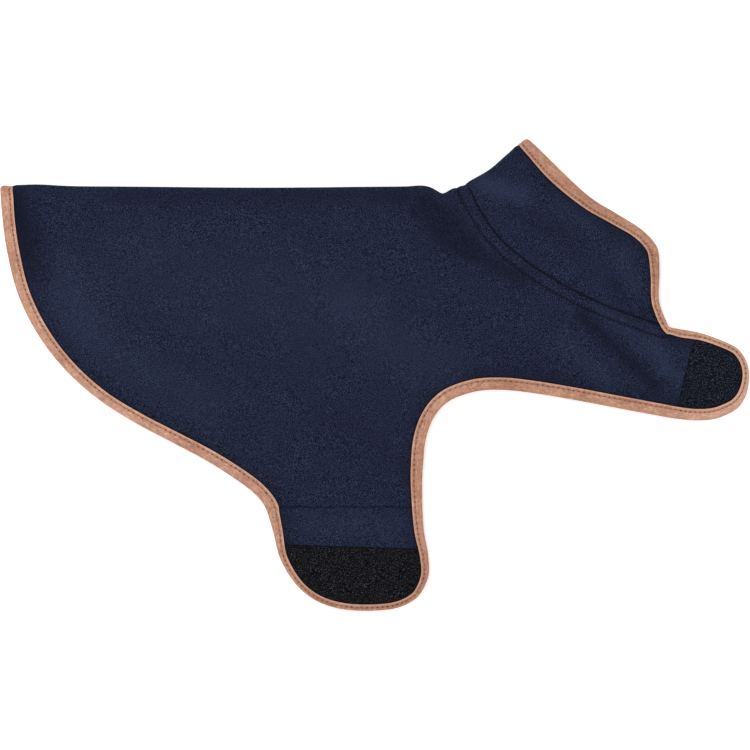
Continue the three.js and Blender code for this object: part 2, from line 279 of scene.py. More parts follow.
CLOTH_NODES = [f"right_{name}" for name in ("back_strip", "body_panel", "belly_strap", "chest_strap", "collar",
                                            "collar_top", "neck_seam", "neck_seam_top")]
TAPE_NODES = [f"right_{name}_binding" for name in ("tail", "hem", "belly", "leg", "chest", "collar", "nape")]
CUT_GAP = 0.5  # two nodes' corners at one cut are nearer than this
SIDE_GAP = 0.6  # a seam's corner on the side that it shares with a neighbour is nearer to it than this


def tape_edges():
    """The tape's outer and inner edges from the tail to the nape, without the corners at its nodes' ends."""
    cloth = [top_outline(node) for node in CLOTH_NODES]
    loops = [top_outline(node) for node in TAPE_NODES]
    outer, inner = [], []
    for i, loop in enumerate(loops):
        others = np.vstack([other for k, other in enumerate(loops) if k != i])
        loop = loop[[np.hypot(*(others - p).T).min() > CUT_GAP and abs(p[1] - HINGE_Y) > CUT_GAP for p in loop]]
        is_inner = np.any([inside(loop, polygon) for polygon in cloth], axis=0)
        is_inner |= np.min([distance_to(loop, np.vstack([polygon, polygon[0]])) for polygon in cloth], axis=0) < CUT_GAP
        if is_inner.any() and not is_inner.all():
            first = next(k for k in range(len(loop)) if not is_inner[k] and is_inner[k - 1])
            loop, is_inner = np.roll(loop, -first, axis=0), np.roll(is_inner, -first)
        outer.append(loop[~is_inner])
        inner.append(loop[is_inner][::-1])
    return np.vstack(outer), np.vstack(inner)


hinge = {j["name"]: np.array(j["pos_m"]) / MM for j in frame["joints"]}
axis = {j["name"]: np.array(j["axis"], float) for j in frame["joints"]}
HINGE_Y = hinge["right_side_open"][1]
SEAM_Y = hinge["right_belly_strap_fold"][1]
CHEST_POINT = hinge["right_chest_strap_fold"][:2]
CHEST_DOWN = axis["right_chest_strap_fold"][:2]  # along the chest fold line, towards the belly
CHEST_OUT = np.array([-CHEST_DOWN[1], CHEST_DOWN[0]])  # towards the strap's tip

back_low, back_high = box("back_fold")
FOLD_OUTER = (back_high[2] - back_low[2]) / 2
FOLD_Y = back_high[1] - FOLD_OUTER
MID_HIGH = back_high[2] - CLOTH_HALF
MID_LOW = back_low[2] + CLOTH_HALF
ROLL = (MID_HIGH - MID_LOW) / 2
ROLL_MID = (MID_HIGH + MID_LOW) / 2

collar_top = top_outline("right_collar_top")
sides = np.roll(collar_top, -1, axis=0) - collar_top
fold_side = sides[np.argmax(np.hypot(*sides.T) * (sides[:, 0] * sides[:, 1] > 0))]
NAPE_DIR = fold_side / np.hypot(*fold_side) * np.sign(fold_side[0])
NAPE_OUT = np.array([-NAPE_DIR[1], NAPE_DIR[0]])


def reach(node, direction):
    """The furthest that a node goes along a direction in plan."""
    return max(float(direction @ v.co[:2]) / MM for v in frame["nodes"][node].data.vertices)


nape_end = reach("nape_fold_binding", NAPE_DIR)
NAPE_CORNER = NAPE_DIR * nape_end + NAPE_OUT * (reach("nape_fold", NAPE_OUT) - FOLD_OUTER)
NAPE_TAPE = nape_end + reach("nape_fold_binding", -NAPE_DIR)
WITHERS = np.array([NAPE_CORNER[0] - (NAPE_CORNER[1] - FOLD_Y) * NAPE_DIR[0] / NAPE_DIR[1], FOLD_Y])
TAIL_CORNER = np.array([box("tail_fold_binding")[0][0], FOLD_Y])
TAIL_TAPE = box("tail_fold_binding")[1][0] - TAIL_CORNER[0]

# ---- the tape's path along the edge of a half, from the tail to the nape ----
outer_raw, inner_raw = tape_edges()
STEP = 1.0
edge = smooth_run(np.vstack([TAIL_CORNER, outer_raw[outer_raw[:, 1] < FOLD_Y - 1], NAPE_CORNER]), STEP)
inner_raw = smooth_run(np.vstack([TAIL_CORNER + [TAIL_TAPE, 0], inner_raw, NAPE_CORNER - NAPE_DIR * NAPE_TAPE]),
                       STEP, corner=180)
run = along(edge)
across = unit(soften(left_normals(edge), STEP, 3.2, ends=(np.array([1.0, 0.0]), -NAPE_DIR)))
width = soften(distance_to(edge, inner_raw)[:, None], STEP, 5.0)[:, 0]

in_strap = np.flatnonzero(edge[:, 1] < SEAM_Y)
in_chest = np.flatnonzero(((edge - CHEST_POINT) @ CHEST_OUT > 0) & (np.arange(len(edge)) > in_strap[-1]))


def run_at(values, index):
    """The run where values pass zero just before the point at index."""
    before, after = values[index - 1:index + 1]
    return run[index - 1] + before / (before - after) * (run[index] - run[index - 1])


above_seam = edge[:, 1] - SEAM_Y
past_fold = (edge - CHEST_POINT) @ CHEST_OUT
CUTS = {}
for strap, values, within, line in (("belly", above_seam, in_strap, np.array([1.0, 0.0])),
                                    ("chest", past_fold, in_chest, CHEST_DOWN)):
    for name, index in ((f"{strap} start", within[0]), (f"{strap} end", within[-1] + 1)):
        CUTS[name] = run_at(values, index)
        # near a fold line the tape's cross-section turns into that line, so that a strap parts there cleanly
        nearness = 1 - smoothstep(0, TURN_IN, np.abs(run - CUTS[name]))
        across += nearness[:, None] * (line / (across @ line)[:, None] - across)

width -= NOTCH_PINCH * bell(run - CUTS["chest end"], NOTCH_SPREAD)
inner = edge + across * width[:, None]
cloth_edge = edge + across * CLOTH_UNDER_TAPE


# ---- seams ----
def side_of_neck_seam(*neighbours):
    """The side of the neck seam that runs along some nodes, from the fold of the back to the chest."""
    seam = np.vstack([top_outline("right_neck_seam_top"), top_outline("right_neck_seam")])
    loops = [top_outline(node) for node in neighbours]
    away = np.min([distance_to(seam, np.vstack([loop, loop[0]])) for loop in loops], axis=0)
    side = seam[(away < SIDE_GAP) & (np.abs(seam[:, 1] - HINGE_Y) > CUT_GAP)]
    side = side[np.argsort(-side[:, 1])]
    return side[np.r_[True, np.hypot(*np.diff(side, axis=0).T) > 2.0]]


def through(line, first=3.0, last=22.0):
    """A line drawn smooth and run on past both its ends."""
    start, end = line[0] - line[1], line[-1] - line[-2]
    line = np.vstack([line[0] + start / np.hypot(*start) * first, line, line[-1] + end / np.hypot(*end) * last])
    return smooth_run(line, STEP, corner=180)


topstitch = through(side_of_neck_seam("right_body_panel", "right_back_strip"))
ditch = through(side_of_neck_seam("right_collar", "right_collar_top"))
edge_stitch = ditch - left_normals(ditch) * EDGE_STITCH
belly_seam = np.array([[box("right_belly_binding")[0][0] + 0.2, SEAM_Y], [box("right_belly_binding")[1][0], SEAM_Y]])
chest_fold = np.array([CHEST_POINT - CHEST_DOWN * 4, CHEST_POINT + CHEST_DOWN * 90])
back_line = np.array([TAIL_CORNER, WITHERS])
nape_line = np.array([WITHERS, NAPE_CORNER])
fold_line = np.vstack([back_line, NAPE_CORNER])
OUTLINE = np.vstack([cloth_edge[1:-1], NAPE_CORNER - NAPE_DIR * CLOTH_UNDER_TAPE, WITHERS,
                     TAIL_CORNER + [CLOTH_UNDER_TAPE, 0]])

# ---- How the cloth lies ----

NAPE_LENGTH = math.dist(WITHERS, NAPE_CORNER)
INNER_TREE = tree_of(resample(inner, 0.5))
SEAMS = [(topstitch, 0.95), (edge_stitch, 0.3), (ditch, 1.0)]


def depth(points):
    """Distance inwards from the tape's inner edge, less than zero under the tape."""
    side = inside(points, np.vstack([inner, inner[-1] + NAPE_OUT * 30, WITHERS + [0, 30], inner[0] + [0, 30]]))
    return nearest(points, INNER_TREE) * np.where(side, 1, -1)


def fold_shift(points):
    """How the fold of the back dips at the withers, and the fold of the collar sags between its ends."""
    x = points[:, 0] - WITHERS[0]
    back = -6.4 * bell(x + 15.8, 9.2) + 0.9 * bell(x + 35, 9) - 1.3 * bell(x + 180, 105) + 1.6 * bell(x + 382, 22)
    up_nape = (points - WITHERS) @ NAPE_DIR / NAPE_LENGTH
    nape = -2.6 * bell(up_nape - 0.42, 0.24) * smoothstep(0, 0.2, up_nape) + 0.6 * bell(up_nape - 0.86, 0.1)
    nape -= smoothstep(-0.02, 0.06, up_nape) * (1.1 - 0.6 * smoothstep(0.85, 1, up_nape) + bell(up_nape - 0.07, 0.05))
    off_back = 1 - smoothstep(3, 26, distance_to(points, back_line))
    off_nape = 1 - smoothstep(3, 22, distance_to(points, nape_line))
    return (back * off_back)[:, None] * np.array([0.0, 1.0]) + (nape * off_nape)[:, None] * NAPE_OUT


# start and end, height (a hollow is less than zero) and width of the creases that show on the upper layer
CREASES = [
    (58, 142, 92, 108, -1.9, 5.5), (70, 154, 128, 102, 1.2, 8.0), (86, 104, 134, 82, -1.3, 6.0),
    (190, 52, 270, -14, -2.0, 5.5), (206, 60, 288, -4, 1.5, 7.0), (176, 40, 240, -18, 1.0, 8.0),
    (212, 74, 238, 52, -1.0, 4.5), (150, 175, 186, 138, -0.7, 6.0), (150, 158, 172, 128, 0.7, 8.0),
    (-40, 66, 70, 30, 0.6, 22.0), (-250, 40, -110, -40, 0.6, 18.0), (-200, 120, -60, 138, -0.5, 16.0),
    (30, -60, 70, 10, 0.7, 14.0), (-70, -96, 20, -100, 0.7, 9.0), (282, -8, 318, 12, 0.4, 12.0),
]


def relief(points):
    """Height of the upper layer's gentle waves and creases."""
    x, y = points.T
    wave = 0.32 * np.sin(x / 41 + 1.3) * np.cos(y / 33 + 0.4) + 0.26 * np.sin((x - 0.7 * y) / 27 + 0.6)
    wave += 0.16 * np.sin((x + 1.3 * y) / 13.5)
    lift = wave + 0.45
    for *ends, height, spread in CREASES:
        t, away = to_segment(points, ends)
        lift += height * bell(away, spread) * (0.25 + 0.75 * np.sin(np.pi * t) ** 0.7)
    from_bends = np.min([np.abs(y - HINGE_Y + BEND / 2), np.abs(y - SEAM_Y + BEND / 2),
                         np.abs((points - CHEST_POINT) @ CHEST_OUT - BEND / 2)], axis=0)
    return lift * (0.2 + 0.8 * smoothstep(BEND / 2, BEND / 2 + 14, from_bends))  # cloth that bends lies flatter


def lie(points, upper):
    """Height of the middle of the cloth."""
    deep = depth(points)
    from_fold = distance_to(points, fold_line)
    settled = smoothstep(2, 26, deep) * smoothstep(1, 20, from_fold)
    if not upper:
        return MID_LOW - LOWER_SAG * settled
    loose = smoothstep(1, 16, from_fold)
    waves = relief(points)
    edge_wave = np.clip(0.35 * waves, 0, 0.5)
    near_edge = 1 - smoothstep(0, 12, deep)
    return MID_HIGH - UPPER_SAG * settled + loose * (waves * (1 - near_edge) + edge_wave * near_edge)


def from_belly_seam(points):
    """Distance from the strap's seam, whose line wavers as its stitches pull."""
    x, y = points.T
    return y - SEAM_Y - 0.4 * np.sin(x / 6.3) - 0.25 * np.sin(x / 2.6 + 1)


def half_thickness(points):
    """Half of the cloth's thickness: pinched by the tape and by the seams, full elsewhere."""
    deep = depth(points)
    half = PINCHED_HALF + (CLOTH_HALF - PINCHED_HALF) * smoothstep(0.2, 3.6, deep)
    half += 0.3 * bell(deep - 4.0, 2.4)
    for line, strength in SEAMS:
        half *= 1 - DITCH * strength * bell(distance_to(points, line), DITCH_WIDTH)
    band = smoothstep(0.6, 2, distance_to(points, ditch)) * smoothstep(0.6, 2, distance_to(points, topstitch))
    in_band = inside(points, np.vstack([topstitch, ditch[::-1]]))
    half += 0.3 * band * in_band * smoothstep(0, 4, deep)
    return half * (1 - 0.62 * bell(from_belly_seam(points), 0.9))


def shading(points):
    """How much light reaches the foot of the pile: less in seams and beside the tape."""
    deep = depth(points)
    light = 0.25 + 0.75 * smoothstep(-0.2, 2.4, deep)
    light *= 1 - 0.22 * (1 - smoothstep(2, 17, deep))
    for line, strength in SEAMS:
        light *= 1 - 0.9 * strength * bell(distance_to(points, line), 0.95)
    light *= 1 - 0.55 * bell(from_belly_seam(points), 0.9)
    return light


# start and end, spread and amount of the streaks of painted shade and painted highlight that make the cloth's colour
# darker or paler along the upper layer's creases and over its bumps
PAINTED_STREAKS = [
    (52, 150, 84, 112, 13, -0.75), (84, 112, 132, 84, 7, -0.5), (30, 158, 60, 118, 14, -0.25),
    (98, 172, 132, 158, 9, 0.7), (128, 150, 176, 118, 12, -0.25), (166, 152, 196, 132, 8, 0.25),
    (-324, 150, -300, 96, 17, -0.65), (-290, 96, -262, 44, 20, 0.4), (-236, 20, -150, -30, 22, 0.2),
    (-230, 160, 20, 160, 11, -0.3), (-200, 96, -60, 60, 44, 0.15), (-20, 60, 60, 0, 26, 0.2),
    (-40, -40, 10, -84, 18, -0.2), (-60, -134, 28, -138, 12, 0.2), (186, 52, 252, -10, 7, -0.6),
    (204, 58, 276, -6, 7, 0.3), (170, 30, 214, -12, 9, 0.25), (252, 36, 262, 6, 7, 0.35),
    (214, 78, 240, 56, 7, -0.3), (120, 20, 160, -4, 14, -0.2), (222, 110, 236, 74, 9, 0.25),
]


def to_segment(points, ends):
    """How far along a segment each point lies, from 0 to 1, and its distance from it."""
    start, end = np.array(ends, float).reshape(2, 2)
    t = np.clip((points - start) @ (end - start) / ((end - start) @ (end - start)), 0, 1)
    return t, np.hypot(*(points - start - t[:, None] * (end - start)).T)


# Painted shade and painted highlight: how far each point's colour is darkened (below zero) or lightened (above zero) by
# the streaks.
def nap(points):
    return sum(amount * bell(to_segment(points, ends)[1], spread) for *ends, spread, amount in PAINTED_STREAKS)


# ---- Meshes ----

def make_piece(name, points, faces, material, slot, body=None, joint=None, sharp=50.0, **attributes):
    """A mesh object from points in millimetres, which rides on a body, or stays unparented in world space when a joint
    is named for it.
    """
    mesh = bpy.data.meshes.new(name)
    mesh.from_pydata((np.asarray(points) * MM).tolist(), [], [tuple(int(i) for i in f) for f in faces])
    mesh.polygons.foreach_set("use_smooth", [True] * len(mesh.polygons))
    mesh.set_sharp_from_angle(angle=math.radians(sharp))
    for key, values in attributes.items():
        values = np.asarray(values, np.float32)
        kind, field = ("FLOAT", "value") if values.ndim == 1 else ("FLOAT_VECTOR", "vector")
        mesh.attributes.new(key, kind, "POINT").data.foreach_set(field, values.ravel())
    mesh.materials.append(material)
    piece = bpy.data.objects.new(name, mesh)
    bpy.context.scene.collection.objects.link(piece)
    if joint:
        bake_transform(piece)
    else:
        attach(piece, body)
    return piece


def closed(top, bottom, faces):
    """A closed shell between two surfaces of one layout, with a wall along each free edge."""
    n = len(top)
    directed = {(a, b) for f in faces for a, b in zip(f, (*f[1:], f[0]))}
    walls = [(b, a, a + n, b + n) for a, b in sorted(directed) if (b, a) not in directed]
    return np.vstack([top, bottom]), [*faces, *(tuple(i + n for i in f[::-1]) for f in faces), *walls]


def shell(middle, normal, half, faces):
    """A closed shell round a middle surface."""
    return closed(middle + normal * half[:, None], middle - normal * half[:, None], faces)


def part_of(points, faces, *per_point):
    """A mesh of some of the faces, with only the points that they use."""
    used = sorted({i for f in faces for i in f})
    place = {old: new for new, old in enumerate(used)}
    return points[used], [tuple(place[i] for i in f) for f in faces], *(values[used] for values in per_point)


# ---- one triangulation of the pattern, for both halves ----
def staggered(low, high, step):
    """Points in rows, each second row moved on by half a step."""
    x, y = np.meshgrid(np.arange(low[0], high[0], step), np.arange(low[1], high[1], step * 0.87))
    x = x + step / 2 * (np.arange(len(x)) % 2)[:, None]
    return np.stack([x.ravel(), y.ravel()], axis=1)


def rows_beside(line, offsets, step=ROW_STEP):
    line = resample(line, step)
    normals = left_normals(line)
    return np.vstack([line + normals * offset for offset in offsets])


def pattern_mesh():
    edge_line = resample(np.vstack([OUTLINE[-1], OUTLINE[:-2]]), ROW_STEP)
    fold = np.vstack([resample(np.array([edge_line[-1], WITHERS]), ROW_STEP),
                      resample(np.array([WITHERS, edge_line[0]]), ROW_STEP)[1:]])
    sewn = [topstitch, edge_stitch, ditch, belly_seam]
    lines = [np.vstack([edge_line, fold[1:]]), *(resample(line, ROW_STEP) for line in [*sewn, chest_fold])]
    beside_seam = [o * side for o in (0.45, 0.95, 1.6, 2.6) for side in (1, -1)]
    scattered = [
        (np.vstack([rows_beside(line, beside_seam) for line in sewn]), 0.36),
        (rows_beside(inner, (0, 0.6, 1.2, 2.0, 3.0, 4.4, 6.4)), 0.5),
        (rows_beside(fold_line, (-1.6, -3.4, -5.4), 2.4), 1.2),
    ]
    xs = np.arange(-340, 341, 3.0)
    for k in range(FOLD_ROWS):  # rows across each stretch that bends
        on = k * 1.25
        for level in (HINGE_Y + 0.6 - on, SEAM_Y - 1.2 - on):
            scattered.append((np.stack([xs, np.full(len(xs), level)], axis=1), 0.9))
        start = CHEST_POINT + CHEST_OUT * (1.2 + on)
        scattered.append((start + np.arange(-6, 90, 3.0)[:, None] * CHEST_DOWN, 0.9))
    open_cloth = staggered((-342, -216), (342, 216), GRID)
    jitter = np.random.default_rng(5).uniform(-0.35, 0.35, open_cloth.shape)
    scattered.append((open_cloth + jitter, 0.62 * GRID))
    return triangulate(lines, scattered, OUTLINE)


plan, plan_faces = pattern_mesh()
centres = plan[plan_faces].mean(axis=1)
in_collar = inside(centres, np.vstack([ditch, [400, 30], [400, 400], [60, 400]]))
in_chest_strap = ((centres - CHEST_POINT) @ CHEST_OUT > 0) & (centres[:, 1] < CHEST_POINT[1] + 2)
in_belly_strap = centres[:, 1] < SEAM_Y
REGIONS = {
    "belly_strap": in_belly_strap,
    "chest_strap": in_chest_strap & ~in_belly_strap,
    "collar": in_collar & ~in_chest_strap,
}
REGIONS["body"] = ~np.any(list(REGIONS.values()), axis=0)
plan_half = half_thickness(plan)
plan_light = shading(plan)
plan_nap = nap(plan)
plan_laid = plan + fold_shift(plan)

# ---- the fold, as columns round a half circle ----
ROLL_COLUMNS = 12
on_fold = np.flatnonzero(distance_to(plan, fold_line) < 0.02)
fold_run = np.where(plan[on_fold, 0] < WITHERS[0], plan[on_fold, 0] - WITHERS[0],
                    (plan[on_fold] - WITHERS) @ NAPE_DIR)
on_fold = on_fold[np.argsort(fold_run)]
fold_laid = plan_laid[on_fold]
fold_normal = unit(soften(left_normals(fold_laid), ROW_STEP, 3.0))
roll_of_collar = fold_laid[:-1, 0] + 0.1 > plan[on_fold][np.argmin(distance_to(plan[on_fold], ditch)), 0]


def half_cloth(upper):
    """Middle surface, normals, half thickness, light and faces by region, of one half with its share of the fold."""
    middle = np.column_stack([plan_laid, lie(plan, upper)])
    normal = np.tile([0.0, 0.0, 1.0], (len(plan), 1))
    values = [plan_half, plan_light, plan_nap]
    faces = {region: [tuple(f) for f in plan_faces[mask].tolist()] for region, mask in REGIONS.items()}
    if upper:
        columns = [on_fold]
        for k in range(1, ROLL_COLUMNS + 1):
            angle = math.pi * k / ROLL_COLUMNS
            out = np.column_stack([fold_normal * math.sin(angle), np.full(len(on_fold), math.cos(angle))])
            centre = np.column_stack([fold_laid, np.full(len(on_fold), ROLL_MID)])
            columns.append(np.arange(len(middle), len(middle) + len(on_fold)))
            middle = np.vstack([middle, centre + out * ROLL])
            normal = np.vstack([normal, out])
        values = [np.r_[value, np.tile(value[on_fold], ROLL_COLUMNS)] for value in values]
        for here, there in zip(columns, columns[1:]):
            for i in range(len(on_fold) - 1):
                region = "collar" if roll_of_collar[i] else "body"
                faces[region].append((here[i], here[i + 1], there[i + 1], there[i]))
    return middle, normal, *values, faces


# ---- Materials ----

class Nodes:
    """Adds and links a node tree's nodes."""

    def __init__(self, tree):
        self.tree = tree

    def put(self, value, socket):
        if hasattr(value, "is_output"):
            self.tree.links.new(value, socket)
        else:
            socket.default_value = value

    def add(self, kind, **settings):
        """A node: settings that start with a capital are sockets, the others are the node's own."""
        node = self.tree.nodes.new(kind)
        for key, value in settings.items():
            if key[0].isupper():
                self.put(value, node.inputs[key.replace("_", " ")])
            else:
                setattr(node, key, value)
        return node

    def math(self, operation, a, b=0.0):
        node = self.add("ShaderNodeMath", operation=operation)
        self.put(a, node.inputs[0])
        self.put(b, node.inputs[1])
        return node.outputs[0]

    def mix(self, factor, a, b):
        node = self.add("ShaderNodeMix", data_type="RGBA")
        for value, socket in ((factor, 0), (a, 6), (b, 7)):
            self.put(value, node.inputs[socket])
        return node.outputs[2]

    def tint(self, colour, *tints):
        """A colour mixed with others in turn, each as far as its mask says: rgb, mask, low, high, at low, at high."""
        for rgb, mask, *limits in tints:
            colour = self.mix(self.spread(mask, *limits), colour, linear(*rgb))
        return colour

    def noise(self, vector, size, detail=2.0, roughness=0.5):
        """Noise whose features are about size millimetres across."""
        return self.add("ShaderNodeTexNoise", Vector=vector, Scale=1 / (size * MM), Detail=detail,
                        Roughness=roughness).outputs["Fac"]

    def spread(self, value, low, high, to_low=0.0, to_high=1.0):
        node = self.add("ShaderNodeMapRange", Value=value)
        for key, number in zip(("From Min", "From Max", "To Min", "To Max"), (low, high, to_low, to_high)):
            node.inputs[key].default_value = number
        return node.outputs[0]

    def attribute(self, name, output="Fac"):
        return self.add("ShaderNodeAttribute", attribute_name=name).outputs[output]


def linear(red, green, blue):
    """A colour given as 0 to 255, as Blender's shaders want it."""
    return tuple(((c / 255 + 0.055) / 1.055) ** 2.4 if c > 10 else c / 255 / 12.92 for c in (red, green, blue)) + (1.0,)


def grain_group():
    """Small and large variation that cloth, pads and suede share: a fine grain, clumps and wide patches."""
    group = bpy.data.node_groups.new("cloth grain", "ShaderNodeTree")
    group.interface.new_socket("Vector", in_out="INPUT", socket_type="NodeSocketVector")
    kinds = (("Fine", 3.0, 0.32, 0.68), ("Clump", 2.0, 0.3, 0.7), ("Patch", 2.5, 0.3, 0.7))
    for key, *_ in kinds:
        group.interface.new_socket(key + " scale", in_out="INPUT", socket_type="NodeSocketFloat")
        group.interface.new_socket(key, in_out="OUTPUT", socket_type="NodeSocketFloat")
    n = Nodes(group)
    given, out = n.add("NodeGroupInput").outputs, n.add("NodeGroupOutput").inputs
    for key, detail, low, high in kinds:
        noise = n.add("ShaderNodeTexNoise", Detail=detail, Roughness=0.55, Vector=given["Vector"],
                      Scale=given[key + " scale"])
        n.put(n.spread(noise.outputs["Fac"], low, high), out[key])
    return group


GRAIN = grain_group()


def start_material(name, roughness, **constants):
    material = bpy.data.materials.new(name)
    material.use_nodes = True
    material.node_tree.nodes.clear()
    n = Nodes(material.node_tree)
    shader = n.add("ShaderNodeBsdfPrincipled", Roughness=roughness, **constants)
    n.add("ShaderNodeOutputMaterial", Surface=shader.outputs[0])
    return material, n, shader


def grain(n, vector, fine, clump, patch):
    """The grain group, with the size in millimetres of its three kinds of variation."""
    sizes = {"Fine scale": fine, "Clump scale": clump, "Patch scale": patch}
    return n.add("ShaderNodeGroup", node_tree=GRAIN, Vector=vector,
                 **{key: 1 / (size * MM) for key, size in sizes.items()}).outputs


def finish_material(n, shader, colour, height, distance, strength=0.6):
    """Gives a material its colour and its relief, whose greatest height is in millimetres."""
    bumps = n.add("ShaderNodeBump", Height=height, Strength=strength, Distance=distance * MM)
    n.put(bumps.outputs[0], shader.inputs["Normal"])
    n.put(colour, shader.inputs["Base Color"])


def fleece_material():
    material, n, shader = start_material("navy fleece", 0.95, Sheen_Weight=0.03, Sheen_Roughness=0.5,
                                         Sheen_Tint=linear(120, 140, 185), Specular_IOR_Level=0.08)
    place = n.attribute("laid", "Vector")
    tufts = grain(n, place, 0.68, 1.1, 62)
    wide = n.noise(place, 24, 2.0)
    colour = n.mix(n.spread(tufts["Clump"], 0.3, 0.75), linear(0, 0, 2), linear(24, 29, 49))
    painted_streak = n.attribute("nap")
    # painted shade and painted highlight in streaks along the creases and bumps, and painted shade from the attribute
    # light where little light reaches the foot of the pile
    colour = n.tint(colour,
                    ((64, 74, 107), tufts["Fine"], 0.5, 0.9, 0, 0.8), ((17, 21, 38), tufts["Patch"], 0, 1, 0, 0.2),
                    ((38, 45, 68), wide, 0.55, 0.8, 0, 0.14), ((10, 14, 27), painted_streak, -0.6, 0, 0.6, 0),
                    ((47, 55, 80), painted_streak, 0, 0.6, 0, 0.4), ((5, 6, 10), n.attribute("light"), 0, 1, 0.95, 0))
    height = n.math("ADD", n.math("MULTIPLY", tufts["Clump"], 0.7), n.math("MULTIPLY", tufts["Fine"], 0.35))
    finish_material(n, shader, colour, height, 0.5, 0.8)
    return material


def pad_material(name, dark, pale, hooked):
    material, n, shader = start_material(name, 0.9, Sheen_Weight=0.01, Sheen_Roughness=0.5,
                                         Specular_IOR_Level=0.05)
    place = n.attribute("laid", "Vector")
    fuzz = grain(n, place, 0.95, 2.1, 22)
    colour = n.mix(fuzz["Clump"], linear(*dark), linear(*[c + 9 for c in dark]))
    colour = n.tint(colour, (pale, fuzz["Fine"], 0.55, 1, 0, 0.6))
    height = n.math("ADD", fuzz["Fine"], n.math("MULTIPLY", fuzz["Clump"], 0.6))
    if hooked:
        hooks = n.math("MULTIPLY", *(
            n.add("ShaderNodeTexWave", wave_type="BANDS", bands_direction=way, Vector=place,
                  Scale=1 / (size * MM) / 6.3, Distortion=wobble).outputs["Fac"]
            for way, size, wobble in (("X", 1.6, 0.4), ("Y", 1.3, 0.3))))
        height = n.math("ADD", n.math("MULTIPLY", height, 0.3), n.math("MULTIPLY", hooks, 1.5))
        colour = n.tint(colour, (pale, hooks, 0.3, 1, 0, 0.6))
    colour = n.tint(colour, ((10, 10, 12), n.attribute("light"), 0, 1, 0.85, 0))
    finish_material(n, shader, colour, height, 0.4)
    return material


def suede_material():
    """Suede-look tape. Its attribute lay holds the distance along, the distance in from its lip, and the stitch."""
    material, n, shader = start_material("tan suede", 0.8, Sheen_Weight=0.2, Sheen_Roughness=0.4,
                                         Sheen_Tint=linear(255, 214, 190), Specular_IOR_Level=0.15)
    lay = n.attribute("lay", "Vector")
    place = n.attribute("laid", "Vector")
    nap = grain(n, place, 0.75, 2.6, 24)
    split = n.add("ShaderNodeSeparateXYZ", Vector=lay).outputs
    colour = n.mix(nap["Patch"], linear(164, 116, 96), linear(204, 158, 132))
    squeeze = n.add("ShaderNodeVectorMath", operation="MULTIPLY")
    n.put(lay, squeeze.inputs[0])
    n.put((0.2, 1.0, 0.0), squeeze.inputs[1])
    streaks, pink, tone = n.noise(squeeze.outputs[0], 1.1), n.noise(place, 11), n.attribute("tone")
    # painted shade in the stitch groove: the last tint below darkens the colour towards the stitch line
    groove = n.math("ABSOLUTE", n.math("SUBTRACT", split[1], STITCH_INSET * MM))
    colour = n.tint(colour,
                    ((138, 94, 75), nap["Clump"], 0, 1, 0, 0.7), ((226, 184, 160), streaks, 0.52, 0.72, 0, 0.62),
                    ((136, 92, 70), tone, 0, 0.5, 0.4, 0), ((222, 180, 160), tone, 0.5, 1, 0, 0.42),
                    ((190, 138, 126), pink, 0.55, 0.75, 0, 0.35), ((112, 74, 58), nap["Fine"], 0, 0.6, 0.42, 0),
                    ((120, 78, 58), groove, 0.2 * MM, 1.2 * MM, 0.3, 0))
    # painted shade in each needle hole, fainter along some stretches at random
    cycle = n.math("COSINE", n.math("MULTIPLY", split[2], 2 * math.pi))
    hole_shade_amount = n.spread(n.noise(place, 14), 0.35, 0.6, 0.3, 0.85)
    hole = n.math("MULTIPLY", n.spread(cycle, 0.3, 0.9), n.spread(groove, 0.4 * MM, 1.0 * MM, 1, 0))
    hole = n.math("MULTIPLY", hole, hole_shade_amount)
    colour = n.mix(hole, colour, linear(66, 40, 28))
    colour = n.tint(colour, ((226, 178, 150), split[1], 0.2 * MM, 1.3 * MM, 0.45, 0))  # painted highlight along its raised lip
    height = n.math("ADD", n.math("MULTIPLY", nap["Clump"], 0.5), n.math("MULTIPLY", nap["Fine"], 0.5))
    finish_material(n, shader, colour, height, 0.4)
    return material


def thread_material(name, dark, pale):
    material, n, shader = start_material(name, 0.6, Sheen_Weight=0.2, Specular_IOR_Level=0.3)
    split = n.add("ShaderNodeSeparateXYZ", Vector=n.attribute("lay", "Vector")).outputs
    twist = n.math("SINE", n.math("ADD", n.math("MULTIPLY", split[0], 2 * math.pi / (0.55 * MM)), split[1]))
    colour = n.mix(n.spread(twist, -1, 1, 0.1, 0.9), linear(*dark), linear(*pale))
    finish_material(n, shader, colour, twist, 0.06)
    return material


FLEECE = fleece_material()
SUEDE = suede_material()
LOOP = {"belly": pad_material("black loop tape", (0, 0, 1), (78, 79, 88), hooked=False),
        "chest": pad_material("black loop tape with navy fluff", (3, 5, 12), (78, 84, 104), hooked=False)}
HOOK = pad_material("black hook tape", (8, 8, 10), (64, 64, 70), hooked=True)
TAN = thread_material("tan thread", (120, 76, 54), (190, 140, 108))
NAVY = thread_material("navy thread", (6, 8, 14), (20, 24, 36))

# ---- Cloth ----

HALVES = {side: {"body": whole, "collar": whole, "belly_strap": {"joint": f"{side}_belly"},
                 "chest_strap": {"joint": f"{side}_chest"}}
          for side, whole in (("right", {"joint": "right_side"}), ("left", {"body": "root"}))}
STANDS_FOR = {
    "right_body": ["back_fold", "right_back_strip", "right_body_panel", "neck_seam_fold",
                   "right_neck_seam_top", "right_neck_seam"],
    "right_collar": ["nape_fold", "right_collar_top", "right_collar"],
    "left_body": ["left_body_panel", "left_neck_seam"],
}
cloths = {}
for side, motions in HALVES.items():
    layer, *values, by_region = half_cloth(side == "right")
    for region, motion in motions.items():
        middle, faces, normal, half, light, painted_streak = part_of(layer, by_region[region], *values)
        points, faces = shell(middle, normal, half, faces)
        name = f"{side}_{region}"
        piece = make_piece(name + "_cloth", points, faces, FLEECE, "fleece", **motion, light=np.tile(light, 2),
                           laid=np.tile(middle * MM, (2, 1)), nap=np.tile(painted_streak, 2))
        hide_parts(*STANDS_FOR.get(name, [name]))
        cloths[side, region] = piece

# ---- Tape and stitching ----

